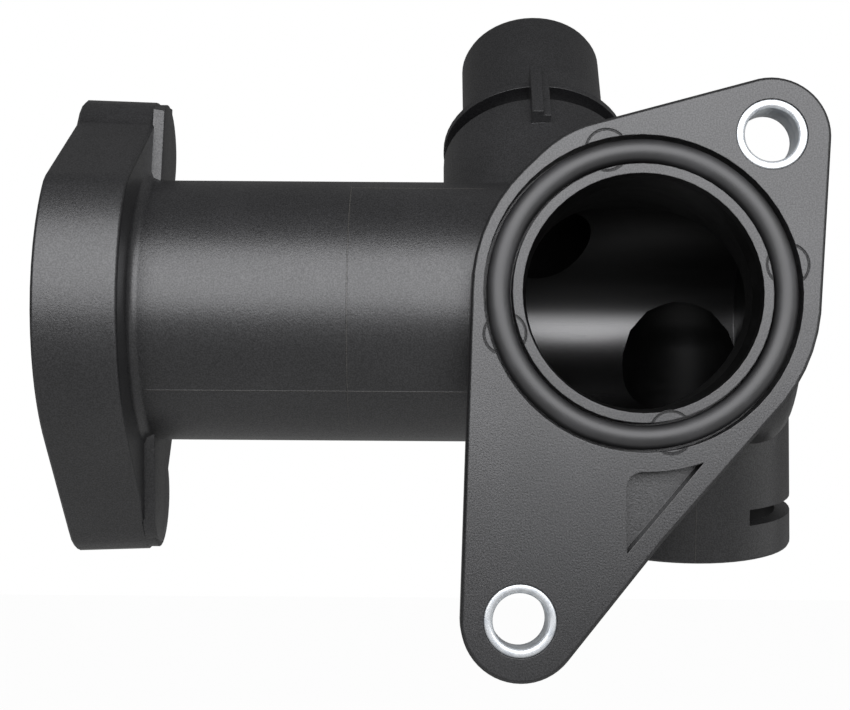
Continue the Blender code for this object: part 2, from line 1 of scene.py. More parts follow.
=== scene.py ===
"""Looks of a moulded coolant flange: a charcoal housing, two rubber rings and plated steel bushes.

Every length is in metres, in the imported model's own frame. The origin is the centre of the engine
port on the mating face, -Y points out of that face, the pipe runs to -X and +Z is up.
"""

import logging
import math
from dataclasses import dataclass, field, replace
from enum import Enum

import bmesh
import bpy
from bmesh.types import BMEdge, BMesh, BMFace, BMLoop, BMVert
from bpy.types import Material, Mesh, MeshPolygon, Node, NodeOutputs, NodeSocket, NodeTree, Object
from mathutils import Matrix, Vector


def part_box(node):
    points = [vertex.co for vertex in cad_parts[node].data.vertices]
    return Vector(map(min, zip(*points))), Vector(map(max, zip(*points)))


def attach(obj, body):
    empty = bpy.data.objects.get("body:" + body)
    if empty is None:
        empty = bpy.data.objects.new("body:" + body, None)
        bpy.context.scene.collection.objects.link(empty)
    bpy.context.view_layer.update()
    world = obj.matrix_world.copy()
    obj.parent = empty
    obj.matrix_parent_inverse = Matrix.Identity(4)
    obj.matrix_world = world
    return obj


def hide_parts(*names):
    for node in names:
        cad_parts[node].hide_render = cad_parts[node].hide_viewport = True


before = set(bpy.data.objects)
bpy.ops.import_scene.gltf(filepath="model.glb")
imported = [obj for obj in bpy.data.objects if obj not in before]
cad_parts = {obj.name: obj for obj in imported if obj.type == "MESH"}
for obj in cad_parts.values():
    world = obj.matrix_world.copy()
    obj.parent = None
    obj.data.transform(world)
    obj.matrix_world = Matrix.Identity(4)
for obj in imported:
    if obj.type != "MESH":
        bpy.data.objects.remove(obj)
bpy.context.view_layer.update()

log = logging.getLogger("coolant_flange")

MM = 0.001
BODY = "root"
MERGE_DISTANCE = 0.002 * MM
CREASE_ANGLE = 40.0

# Faces whose normals lie within this cosine share a plane.
COPLANAR = math.cos(math.radians(0.6))
# A patch below this share of its corner's largest one is small, and has this weight.
SMALL_SHARE = 0.22
SMALL_WEIGHT = 0.02
# Greatest area of a sliver, and the most of them stepped over in a row.
SLIVER_AREA = 1e-9
MOST_SLIVERS = 12
# A facet that faces its axis within this cosine belongs to a round wall.
ROUND_WALL = math.cos(math.radians(5.0))
# Share of a drawn line's half width that has full strength.
LINE_CORE = 0.35

# A point on each axis of the housing, and the axis's direction.
PIPE = ((0.0, 22.9 * MM, -0.2 * MM), (1.0, 0.0, 0.0))
PORT = ((0.0, 0.0, 0.0), (0.0, 1.0, 0.0))
NOZZLE = ((-10.7 * MM, 22.9 * MM, -0.2 * MM), (0.0, 0.53583, 0.84433))
SENSOR = ((11.0 * MM, 35.0 * MM, -5.2 * MM), (0.0, 0.2044961, -0.9788674))

Colour = tuple[float, float, float]
Span = tuple[float, float]


class Slot(Enum):
    """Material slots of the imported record."""

    PLASTIC = "glass_filled_plastic"
    RUBBER = "black_rubber"
    STEEL = "plated_steel"


class Finish(Enum):
    """Names of the finishes, the floor's included."""

    MOULDED_PLASTIC = "moulded_plastic"
    CORE_PLASTIC = "core_plastic"
    SEAL_RUBBER = "seal_rubber"
    ZINC_PLATE = "zinc_plate"
    BRASS = "brass"
    PALE_FLOOR = "pale_floor"


# ---------------------------------------------------------------- node helpers


class NodeSheet:
    """A node tree with short calls for adding and joining nodes."""

    def __init__(self, tree: NodeTree) -> None:
        """Keep the tree that the nodes go into."""
        self.tree = tree

    def add(self, kind: str, **settings: object) -> Node:
        """Add a node and set its properties.

        Args:
            kind: Blender's type name of the node.
            settings: Properties of the node to set.

        Returns:
            The new node.
        """
        node = self.tree.nodes.new(kind)
        for key, value in settings.items():
            setattr(node, key, value)
        return node

    def feed(self, socket: NodeSocket, value: object) -> None:
        """Join a socket to another one, or give it a fixed value.

        Args:
            socket: Input socket to fill.
            value: Output socket, number or vector.
        """
        if isinstance(value, NodeSocket):
            self.tree.links.new(value, socket)
        else:
            socket.default_value = value

    def fill(self, node: Node, inputs: dict[str, object]) -> None:
        """Feed several inputs of a node.

        Args:
            node: Node to feed.
            inputs: Output socket, number or vector for each input, by its name.
        """
        for label, value in inputs.items():
            self.feed(node.inputs[label], value)

    def put(self, kind: str, inputs: dict[str, object], **settings: object) -> NodeSocket:
        """Add a node with filled inputs.

        Args:
            kind: Blender's type name of the node.
            inputs: Output socket, number or vector for each input, by its name.
            settings: Properties of the node to set.

        Returns:
            The node's first output.
        """
        node = self.add(kind, **settings)
        self.fill(node, inputs)
        return node.outputs[0]

    def math(self, operation: str, *values: object) -> NodeSocket:
        """Add a Math node.

        Args:
            operation: Blender's name of the operation.
            values: Inputs, as sockets or numbers.

        Returns:
            The node's result.
        """
        node = self.add("ShaderNodeMath", operation=operation)
        for index, value in enumerate(values):
            self.feed(node.inputs[index], value)
        return node.outputs[0]

    def vector(self, operation: str, *values: object) -> NodeSocket:
        """Add a Vector Math node.

        Args:
            operation: Blender's name of the operation.
            values: Inputs, as sockets or vectors.

        Returns:
            The node's result, which is a number for a length or distance.
        """
        node = self.add("ShaderNodeVectorMath", operation=operation)
        for index, value in enumerate(values):
            self.feed(node.inputs[index], value)
        return node.outputs["Value" if operation in ('LENGTH', 'DISTANCE') else "Vector"]

    def less(self, value: object) -> NodeSocket:
        """One minus a value."""
        return self.math('SUBTRACT', 1.0, value)

    def product(self, *values: object) -> NodeSocket:
        """Multiply values.

        Args:
            values: Two or more sockets or numbers.

        Returns:
            Their product.
        """
        result = values[0]
        for value in values[1:]:
            result = self.math('MULTIPLY', result, value)
        return result

    def step(self, value: object, low: float, high: float) -> NodeSocket:
        """Smooth step, from 0 where the value is low to 1 where it is high."""
        return self.put("ShaderNodeMapRange", {"Value": value, "From Min": low, "From Max": high},
                        interpolation_type='SMOOTHSTEP')

    def line(self, value: object, centre: float, half_width: float) -> NodeSocket:
        """Mask of a thin line: 1 where the value is near the centre, and 0 past the half width."""
        away = self.math('ABSOLUTE', self.math('SUBTRACT', value, centre))
        return self.less(self.step(away, LINE_CORE * half_width, half_width))

    def mix(self, share: object, first: object, second: object) -> NodeSocket:
        """Blend two colours.

        Args:
            share: Share of the second colour.
            first: Colour at a share of 0.
            second: Colour at a share of 1.

        Returns:
            The blended colour.
        """
        node = self.add("ShaderNodeMix", data_type='RGBA')
        self.feed(node.inputs["Factor"], share)
        self.feed(node.inputs[6], (*first, 1.0) if isinstance(first, tuple) else first)
        self.feed(node.inputs[7], (*second, 1.0) if isinstance(second, tuple) else second)
        return node.outputs[2]

    def blend(self, share: object, first: object, second: object) -> NodeSocket:
        """Blend two numbers.

        Args:
            share: Share of the second number.
            first: Number at a share of 0.
            second: Number at a share of 1.

        Returns:
            The blended number.
        """
        node = self.add("ShaderNodeMix", data_type='FLOAT')
        self.feed(node.inputs["Factor"], share)
        self.feed(node.inputs[2], first)
        self.feed(node.inputs[3], second)
        return node.outputs[0]

    def noise(self, where: object, scale: object, detail: float) -> NodeSocket:
        """Value of a Noise texture with so many lumps per metre and finer layers."""
        return self.put("ShaderNodeTexNoise", {"Vector": where, "Scale": scale, "Detail": detail})

    def parts(self, vector: NodeSocket) -> NodeOutputs:
        """X, Y and Z of a vector, as sockets."""
        return self.put("ShaderNodeSeparateXYZ", {"Vector": vector}).node.outputs

    def from_pipe(self, place: NodeSocket) -> NodeSocket:
        """Distance from the pipe's axis."""
        offset = self.vector('SUBTRACT', place, PIPE[0])
        return self.vector('LENGTH', self.vector('MULTIPLY', offset, (0.0, 1.0, 1.0)))

    def group(self, tree: NodeTree, inputs: dict[str, object]) -> NodeOutputs:
        """Outputs of a shared node group with filled inputs."""
        return self.put("ShaderNodeGroup", inputs, node_tree=tree).node.outputs

    def bump(self, height: object, **inputs: object) -> NodeSocket:
        """Shading normal of a height in metres, with other inputs of the Bump node if needed."""
        return self.put("ShaderNodeBump", {"Distance": 1.0, "Height": height, **inputs})

    def here(self) -> NodeSocket:
        """Object coordinates of the shaded point."""
        return self.add("ShaderNodeTexCoord").outputs["Object"]


def group_tree(name: str, inputs: dict[str, tuple[str, float]], outputs: dict[str, str]) -> tuple[
        NodeTree, Node, Node]:
    """Start a shader node group with named sockets.

    Args:
        name: Name of the group.
        inputs: Socket type and starting value of each input, by its name.
        outputs: Socket type of each output, by its name.

    Returns:
        The tree, its input node and its output node.
    """
    tree = bpy.data.node_groups.new(name, 'ShaderNodeTree')
    for label, (kind, value) in inputs.items():
        socket = tree.interface.new_socket(label, in_out='INPUT', socket_type=kind)
        if kind == 'NodeSocketFloat':
            socket.default_value = value
    for label, kind in outputs.items():
        tree.interface.new_socket(label, in_out='OUTPUT', socket_type=kind)
    return tree, tree.nodes.new("NodeGroupInput"), tree.nodes.new("NodeGroupOutput")


class SharedEffects:
    """Shader node groups that more than one finish uses."""

    fine_share: float = 0.7
    fine_detail: float = 3.0
    coarse_detail: float = 2.0
    least_tone: float = 0.1
    pit_edges: Span = (0.04, 0.14)
    cloud_detail: float = 4.0
    cloud_edges: Span = (0.42, 0.68)

    def __init__(self) -> None:
        """Build each group once."""
        self.grain = self.build_grain()
        self.handling = self.build_handling()

    def build_grain(self) -> NodeTree:
        """Make the fine grain of a moulded, rubbed or plated surface.

        Returns:
            Group that puts out a height, a tone around 1, a mask of sparse pits and raw specks.
        """
        tree, source, result = group_tree(
            "surface_grain",
            {"Place": ('NodeSocketVector', 0.0), "Fine Scale": ('NodeSocketFloat', 4000.0),
             "Coarse Scale": ('NodeSocketFloat', 900.0), "Tone Depth": ('NodeSocketFloat', 0.1)},
            {"Height": 'NodeSocketFloat', "Tone": 'NodeSocketFloat', "Pits": 'NodeSocketFloat',
             "Specks": 'NodeSocketFloat'})
        sheet, given = NodeSheet(tree), source.outputs
        fine = sheet.noise(given["Place"], given["Fine Scale"], self.fine_detail)
        coarse = sheet.noise(given["Place"], given["Coarse Scale"], self.coarse_detail)
        height = sheet.math('ADD', sheet.product(fine, self.fine_share),
                            sheet.product(coarse, 1.0 - self.fine_share))
        swing = sheet.product(sheet.math('SUBTRACT', coarse, 0.5), given["Tone Depth"])
        cells = sheet.put("ShaderNodeTexVoronoi", {"Vector": given["Place"], "Scale": given["Coarse Scale"]})
        tone = sheet.math('MAXIMUM', sheet.math('ADD', 1.0, swing), self.least_tone)
        pits = sheet.less(sheet.step(cells, *self.pit_edges))
        sheet.fill(result, {"Height": height, "Tone": tone, "Pits": pits, "Specks": coarse})
        return tree

    def build_handling(self) -> NodeTree:
        """Make the faint cloudy rubbing that handling leaves on a surface.

        Returns:
            Group that puts out a mask of rubbed places.
        """
        tree, source, result = group_tree(
            "handling_rub", {"Place": ('NodeSocketVector', 0.0), "Scale": ('NodeSocketFloat', 90.0)},
            {"Rubbed": 'NodeSocketFloat'})
        sheet = NodeSheet(tree)
        cloud = sheet.noise(source.outputs["Place"], source.outputs["Scale"], self.cloud_detail)
        sheet.feed(result.inputs["Rubbed"], sheet.step(cloud, *self.cloud_edges))
        return tree


@dataclass(frozen=True)
class PlasticFinish:
    """Charcoal glass-filled plastic, matt with a fine sparkling grain."""

    colour: Colour = (0.0135, 0.0135, 0.0146)
    rubbed_colour: Colour = (0.0185, 0.0185, 0.0198)
    line_colour: Colour = (0.06, 0.057, 0.052)
    # Painted shade: the ejector rings' thin grooves are darkened to this colour as if shadowed.
    ejector_shade_colour: Colour = (0.004, 0.004, 0.0045)
    roughness: float = 0.36
    roughness_swing: float = 0.24
    rubbed_polish: float = 0.02
    mark_roughness: float = 0.85
    specular: float = 1.0
    edge_radius: float = 0.15 * MM
    edge_samples: int = 6
    fine_scale: float = 4200.0
    coarse_scale: float = 5200.0
    tone_depth: float = 2.4
    grain_height: float = 0.034 * MM
    pit_depth: float = 0.0102 * MM
    sparkle: float = 0.55
    sparkle_edges: Span = (0.4, 0.62)
    line_height: float = 0.05 * MM
    line_strength: float = 0.7
    line_half_width: float = 0.11 * MM
    level_half_width: float = 0.088 * MM
    mark_depth: float = 0.1 * MM
    mark_half_width: float = 0.17 * MM
    mark_fade_y: Span = (0.1 * MM, 0.2 * MM)
    pipe_outside: float = 18.15 * MM
    pipe_skin: float = 0.3 * MM
    pipe_split_x: float = -37.4 * MM
    pipe_split_z: float = -12.2 * MM
    pipe_upper_line_z: float = 15.75 * MM
    pipe_start_x: Span = (-64.5 * MM, -63.5 * MM)
    pipe_end_x: Span = (-20.0 * MM, -19.0 * MM)
    upright_fade_y: Span = (14.0 * MM, 16.0 * MM)
    pipe_fade_y: Span = (16.0 * MM, 18.0 * MM)
    socket_split_x: float = 10.7 * MM
    socket_fade_z: Span = (-26.0 * MM, -25.0 * MM)
    socket_rise_y: Span = (8.0 * MM, 9.0 * MM)
    ejector_radius: float = 2.6 * MM
    ejectors: tuple[Span, ...] = (
        (-4.56 * MM, 18.04 * MM), (18.11 * MM, 3.62 * MM), (3.36 * MM, -17.5 * MM), (-17.32 * MM, -5.32 * MM))

    def ejector_mask(self, sheet: NodeSheet, place: NodeSocket) -> NodeSocket:
        """Draw the round marks that the ejector pins left on the mating face.

        Args:
            sheet: Material's nodes.
            place: Object coordinates.

        Returns:
            The rings' mask, which fades out below the face.
        """
        flat = sheet.vector('MULTIPLY', place, (1.0, 0.0, 1.0))
        rings = 0.0
        for x, z in self.ejectors:
            away = sheet.vector('DISTANCE', flat, (x, 0.0, z))
            rings = sheet.math('MAXIMUM', rings, sheet.line(away, self.ejector_radius, self.mark_half_width))
        return sheet.product(rings, sheet.less(sheet.step(sheet.parts(place)["Y"], *self.mark_fade_y)))

    def parting_mask(self, sheet: NodeSheet, place: NodeSocket) -> NodeSocket:
        """Draw the thin lines where the halves and slides of the mould met.

        Args:
            sheet: Material's nodes.
            place: Object coordinates.

        Returns:
            The lines' mask.
        """
        x, y, z = sheet.parts(place)
        upright = sheet.line(x, self.pipe_split_x, self.line_half_width)
        upright = sheet.product(upright, sheet.less(sheet.step(y, *self.upright_fade_y)))
        level = sheet.line(z, self.pipe_split_z, self.level_half_width)
        upper = sheet.line(z, self.pipe_upper_line_z, self.line_half_width)
        upper = sheet.product(upper, sheet.math('GREATER_THAN', x, self.pipe_split_x))
        on_pipe = sheet.product(
            sheet.line(sheet.from_pipe(place), self.pipe_outside, self.pipe_skin),
            sheet.step(x, *self.pipe_start_x), sheet.less(sheet.step(x, *self.pipe_end_x)),
            sheet.less(sheet.step(y, *self.pipe_fade_y)))
        pipe_lines = sheet.math('MAXIMUM', upright, sheet.math('MAXIMUM', level, upper))
        socket_line = sheet.product(
            sheet.line(x, self.socket_split_x, self.line_half_width),
            sheet.less(sheet.step(z, *self.socket_fade_z)), sheet.step(y, *self.socket_rise_y))
        return sheet.math('MAXIMUM', sheet.product(pipe_lines, on_pipe), socket_line)

    def build(self, effects: SharedEffects) -> Material:
        """Make the plastic's material.

        Args:
            effects: Shared node groups.

        Returns:
            The new material.
        """
        material, sheet, shader = new_material(Finish.MOULDED_PLASTIC)
        place = sheet.here()
        grain = sheet.group(effects.grain, {"Place": place, "Fine Scale": self.fine_scale,
                                            "Coarse Scale": self.coarse_scale, "Tone Depth": self.tone_depth})
        rubbed = sheet.group(effects.handling, {"Place": place})["Rubbed"]
        pins = self.ejector_mask(sheet, place)
        lines = self.parting_mask(sheet, place)
        colour = sheet.mix(rubbed, self.colour, self.rubbed_colour)
        colour = sheet.mix(sheet.product(lines, self.line_strength), colour, self.line_colour)
        # Painted shade darkens the ejector rings' thin grooves.
        colour = sheet.mix(pins, colour, self.ejector_shade_colour)
        toned = sheet.put("ShaderNodeVectorMath", {"Vector": colour, "Scale": grain["Tone"]},
                          operation='SCALE')
        swing = sheet.product(sheet.math('SUBTRACT', grain["Height"], 0.5), self.roughness_swing)
        rough = sheet.math('ADD', self.roughness, swing)
        rough = sheet.math('SUBTRACT', rough, sheet.product(rubbed, self.rubbed_polish))
        specks = sheet.step(grain["Specks"], *self.sparkle_edges)
        height = sheet.product(grain["Height"], self.grain_height)
        height = sheet.math('SUBTRACT', height, sheet.product(grain["Pits"], self.pit_depth))
        height = sheet.math('ADD', height, sheet.product(lines, self.line_height))
        height = sheet.math('SUBTRACT', height, sheet.product(pins, self.mark_depth))
        soft_edge = sheet.put("ShaderNodeBevel", {"Radius": self.edge_radius}, samples=self.edge_samples)
        sheet.fill(shader, {
            "Base Color": toned, "Roughness": sheet.blend(pins, rough, self.mark_roughness),
            "Specular IOR Level": self.specular, "Coat Weight": sheet.product(specks, self.sparkle),
            "Coat Roughness": self.roughness, "Normal": sheet.bump(height, Normal=soft_edge)})
        return material


@dataclass(frozen=True)
class CoreFinish:
    """The same plastic inside the bores, its colour darkened into painted shade, and wet-glossy on the wall
    that faces the port.
    """

    # Painted shade: both colours are the plastic's own, darkened to stand for the shade inside the bores.
    colour: Colour = (0.0028, 0.0028, 0.0028)
    streak_colour: Colour = (0.0045, 0.0045, 0.0045)
    streak_scale: float = 420.0
    streak_stretch: tuple[float, float, float] = (0.15, 1.0, 1.0)
    roughness: float = 0.45
    roughness_swing: float = 0.06
    specular: float = 0.42
    gloss_roughness: float = 0.25
    gloss_ior: float = 2.1
    fine_scale: float = 3600.0
    grain_height: float = 0.004 * MM
    pipe_bore: float = 14.75 * MM
    wall_skin: float = 0.5 * MM
    gloss_rise_y: Span = (24.0 * MM, 27.0 * MM)
    gloss_fade_z: Span = (-1.5 * MM, 3.5 * MM)

    def gloss_mask(self, sheet: NodeSheet, place: NodeSocket) -> NodeSocket:
        """Find the polished back wall of the pipe's bore, which faces the engine port.

        Args:
            sheet: Material's nodes.
            place: Object coordinates.

        Returns:
            Mask that is 1 on that wall.
        """
        _, y, z = sheet.parts(place)
        wall = sheet.line(sheet.from_pipe(place), self.pipe_bore, self.wall_skin)
        back = sheet.step(y, *self.gloss_rise_y)
        return sheet.product(wall, back, sheet.less(sheet.step(z, *self.gloss_fade_z)))

    def build(self, effects: SharedEffects) -> Material:
        """Make the bores' material.

        Args:
            effects: Shared node groups.

        Returns:
            The new material.
        """
        material, sheet, shader = new_material(Finish.CORE_PLASTIC)
        place = sheet.here()
        grain = sheet.group(effects.grain, {"Place": place, "Fine Scale": self.fine_scale})
        drawn = sheet.vector('MULTIPLY', place, self.streak_stretch)
        streaks = sheet.group(effects.handling, {"Place": drawn, "Scale": self.streak_scale})["Rubbed"]
        gloss = self.gloss_mask(sheet, place)
        swing = sheet.product(sheet.math('SUBTRACT', streaks, 0.5), self.roughness_swing)
        rough = sheet.blend(gloss, self.roughness, self.gloss_roughness)
        # The base colour is painted shade of the bores, with faint streaks.
        sheet.fill(shader, {
            "Base Color": sheet.mix(streaks, self.colour, self.streak_colour),
            "Roughness": sheet.math('ADD', rough, swing), "Specular IOR Level": self.specular,
            "Coat Weight": gloss, "Coat Roughness": self.gloss_roughness, "Coat IOR": self.gloss_ior,
            "Normal": sheet.bump(sheet.product(grain["Height"], self.grain_height))})
        return material


@dataclass(frozen=True)
class PlainFinish:
    """Finish of the small parts: one colour with a fine grain and faint clouds of another."""

    finish: Finish
    colour: Colour
    cloud_colour: Colour
    cloud_scale: float
    fine_scale: float
    coarse_scale: float
    grain_height: float
    roughness: float
    cloud_roughness: float = 0.0
    grain_roughness: float = 0.0
    metallic: float = 0.0
    specular: float = 0.5
    sheen: float = 0.0
    sheen_roughness: float = 0.03

    def build(self, effects: SharedEffects) -> Material:
        """Make the finish's material.

        Args:
            effects: Shared node groups.

        Returns:
            The new material.
        """
        material, sheet, shader = new_material(self.finish)
        place = sheet.here()
        grain = sheet.group(effects.grain, {"Place": place, "Fine Scale": self.fine_scale,
                                            "Coarse Scale": self.coarse_scale})["Height"]
        cloud = sheet.group(effects.handling, {"Place": place, "Scale": self.cloud_scale})["Rubbed"]
        swing = sheet.math('ADD', sheet.product(cloud, self.cloud_roughness),
                           sheet.product(grain, self.grain_roughness))
        sheet.fill(shader, {
            "Base Color": sheet.mix(cloud, self.colour, self.cloud_colour), "Metallic": self.metallic,
            "Roughness": sheet.math('ADD', self.roughness, swing), "Specular IOR Level": self.specular,
            "Coat Weight": self.sheen, "Coat Roughness": self.sheen_roughness,
            "Normal": sheet.bump(sheet.product(grain, self.grain_height))})
        return material


# Black rubber of the seal rings, satin with faint talc.
RUBBER = PlainFinish(
    Finish.SEAL_RUBBER, colour=(0.016, 0.016, 0.0168), cloud_colour=(0.032, 0.032, 0.034),
    cloud_scale=160.0, fine_scale=5000.0, coarse_scale=1600.0, grain_height=0.006 * MM,
    roughness=0.52, cloud_roughness=0.08, specular=1.0, sheen=0.55, sheen_roughness=0.42)
# Zinc plate of the bushes, slightly cloudy.
ZINC = PlainFinish(
    Finish.ZINC_PLATE, colour=(0.9, 0.93, 0.95), cloud_colour=(0.74, 0.78, 0.82),
    cloud_scale=700.0, fine_scale=6000.0, coarse_scale=1800.0, grain_height=0.004 * MM,
    roughness=0.34, grain_roughness=0.12, metallic=0.8)
# Bare brass of the threaded inserts.
BRASS = replace(ZINC, finish=Finish.BRASS, colour=(0.72, 0.53, 0.26), cloud_colour=(0.6, 0.44, 0.22),
                roughness=0.26, metallic=1.0)


def new_material(finish: Finish) -> tuple[Material, NodeSheet, Node]:
    """Start a material.

    Args:
        finish: Finish that names it.

    Returns:
        The material, its nodes and its shader.
    """
    material = bpy.data.materials.new(finish.value)
    material.use_nodes = True
    return material, NodeSheet(material.node_tree), material.node_tree.nodes["Principled BSDF"]


# ---------------------------------------------------------------- meshes


def merged_copy(node: str, name: str) -> Object:
    """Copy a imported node's loose triangles as one joined mesh.

    Args:
        node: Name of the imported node.
        name: Name of the copy.

    Returns:
        The copy, linked to the scene.
    """
    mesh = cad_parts[node].data.copy()
    mesh.name = name
    mesh.materials.clear()
    joined = bmesh.new()
    joined.from_mesh(mesh)
    bmesh.ops.remove_doubles(joined, verts=joined.verts, dist=MERGE_DISTANCE)
    joined.to_mesh(mesh)
    joined.free()
    return linked(name, mesh)


def linked(name: str, mesh: Mesh) -> Object:
    """Put a mesh into the scene at the origin.

    Args:
        name: Name of the new object.
        mesh: Its mesh, already in place.

    Returns:
        The new object.
    """
    piece = bpy.data.objects.new(name, mesh)
    bpy.context.scene.collection.objects.link(piece)
    return piece


def smooth_by_angle(mesh: Mesh) -> None:
    """Shade a mesh smooth, with sharp edges where its faces turn by more than the crease angle."""
    mesh.shade_smooth()
    mesh.set_sharp_from_angle(angle=math.radians(CREASE_ANGLE))


def flat_patches(faces: BMesh) -> tuple[list[int], list[float]]:
    """Gather faces that lie in one plane beside each other.

    Args:
        faces: Joined mesh with its face numbers up to date.

    Returns:
        The patch number of each face, and the area of each patch.
    """
    patch_of = [-1] * len(faces.faces)
    areas = []
    for start in faces.faces:
        if patch_of[start.index] >= 0:
            continue
        patch_of[start.index] = len(areas)
        waiting = [start]
        area = 0.0
        while waiting:
            face = waiting.pop()
            area += face.calc_area()
            for edge in face.edges:
                for other in edge.link_faces:
                    if patch_of[other.index] < 0 and other.normal.dot(start.normal) > COPLANAR:
                        patch_of[other.index] = len(areas)
                        waiting.append(other)
        areas.append(area)
    return patch_of, areas


def shade_by_patches(mesh: Mesh, degrees: float) -> None:
    """Shade a mesh so that flats stay flat and the narrow facets of its fillets turn smoothly.

    At each corner the small patches give way to the large ones that they join, unless an edge between
    them is sharp.

    Args:
        mesh: Joined mesh to shade.
        degrees: Least angle of a sharp edge.
    """
    faces = bmesh.new()
    faces.from_mesh(mesh)
    faces.faces.ensure_lookup_table()
    patch_of, areas = flat_patches(faces)
    limit = math.cos(math.radians(degrees))
    normals = [Vector((0.0, 0.0, 1.0))] * sum(len(face.loops) for face in faces.faces)
    for corner in faces.verts:
        for fan in smooth_fans(corner, limit):
            largest = max(areas[patch_of[loop.face.index]] for loop in fan)
            total = Vector()
            for loop in fan:
                share = loop.calc_angle()
                if areas[patch_of[loop.face.index]] < SMALL_SHARE * largest:
                    share *= SMALL_WEIGHT
                total += share * loop.face.normal
            for loop in fan:
                normals[loop.index] = total.normalized()
    faces.free()
    mesh.shade_smooth()
    mesh.normals_split_custom_set(normals)


def next_face(face: BMFace, edge: BMEdge,
              corner: BMVert) -> BMFace | None:
    """Step over an edge to the next face round a corner, past slivers that have no real area.

    Args:
        face: Face to start from.
        edge: Its edge to step over.
        corner: Corner that the steps go round.

    Returns:
        The next real face, or None where the mesh is open.
    """
    for _ in range(MOST_SLIVERS):
        if len(edge.link_faces) != 2:
            return None
        face = next(other for other in edge.link_faces if other != face)
        if face.calc_area() > SLIVER_AREA:
            return face
        edge = next(other for other in face.edges if other != edge and corner in other.verts)
    return None


def smooth_fans(corner: BMVert, limit: float) -> list[list[BMLoop]]:
    """Split the faces round a corner at its sharp edges.

    Args:
        corner: Corner of the mesh.
        limit: Cosine of the least angle of a sharp edge.

    Returns:
        Lists of the corner's loops that are shaded as one.
    """
    left = list(corner.link_loops)
    loop_of = {loop.face: loop for loop in left}
    fans = []
    while left:
        fan = [left.pop()]
        for loop in fan:
            for edge in loop.face.edges:
                if corner not in edge.verts:
                    continue
                other = next_face(loop.face, edge, corner)
                if other and loop_of[other] in left and other.normal.dot(loop.face.normal) > limit:
                    left.remove(loop_of[other])
                    fan.append(loop_of[other])
        fans.append(fan)
    return fans


def turned(profile: list[Span], steps: int, middle: Vector, axis: Vector) -> Mesh:
    """Turn a closed profile of (radius, height) points round an axis.

    Args:
        profile: Points of the section, in order.
        steps: Number of facets round the axis.
        middle: Point where the height is 0.
        axis: Direction in which the height grows.

    Returns:
        The turned mesh, its faces outwards.
    """
    mesh = bpy.data.meshes.new("turned")
    ring = bmesh.new()
    loops = []
    for index in range(steps):
        angle = 2.0 * math.pi * index / steps
        loops.append([ring.verts.new((radius * math.cos(angle), radius * math.sin(angle), height))
                      for radius, height in profile])
    for first, second in zip(loops, loops[1:] + loops[:1]):
        for near, far in zip(range(len(profile)), [*range(1, len(profile)), 0]):
            ring.faces.new((first[near], first[far], second[far], second[near]))
    bmesh.ops.recalc_face_normals(ring, faces=ring.faces)
    turn = axis.to_track_quat('Z', 'Y').to_matrix().to_4x4()
    bmesh.ops.transform(ring, matrix=Matrix.Translation(middle) @ turn, verts=ring.verts)
    ring.to_mesh(mesh)
    ring.free()
    return mesh


def arc(centre: Span, radius: float, start: float, end: float, steps: int) -> list[Span]:
    """Points of an arc in a section.

    Args:
        centre: Middle of the arc.
        radius: Its radius.
        start: First angle in degrees.
        end: Last angle in degrees.
        steps: Number of pieces.

    Returns:
        The points, the first and last included.
    """
    points = []
    for step in range(steps + 1):
        angle = math.radians(start + (end - start) * step / steps)
        points.append((centre[0] + radius * math.cos(angle), centre[1] + radius * math.sin(angle)))
    return points


def place_piece(piece: Object, material: Material, slot: Slot, *nodes: str) -> None:
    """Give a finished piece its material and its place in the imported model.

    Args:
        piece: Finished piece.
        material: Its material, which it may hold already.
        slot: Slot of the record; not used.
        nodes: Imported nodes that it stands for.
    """
    if not piece.data.materials:
        piece.data.materials.append(material)
    if nodes:
        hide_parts(*nodes)
    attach(piece, BODY)
    log.info("%s: %d faces", piece.name, len(piece.data.polygons))


@dataclass(frozen=True)
class RoundWall:
    """Round stretch along one of the housing's axes, with a bore's wall or a pipe's outside in it."""

    start: tuple[float, float, float]
    axis: tuple[float, float, float]
    radius: float
    low: float
    high: float

    def inward(self, point: Vector) -> Vector:
        """Shortest way from a point to the axis."""
        offset = Vector(self.start) - point
        return offset - offset.dot(Vector(self.axis)) * Vector(self.axis)

    def holds(self, point: Vector) -> bool:
        """Whether a point lies in the stretch."""
        along = (point - Vector(self.start)).dot(Vector(self.axis))
        return self.low < along < self.high and self.inward(point).length < self.radius

    def lines(self, face: MeshPolygon) -> bool:
        """Whether a face of the housing is a facet of the round wall, seen from inside or outside it."""
        across = self.inward(face.center).normalized()
        return self.holds(face.center) and abs(face.normal.dot(across)) > ROUND_WALL


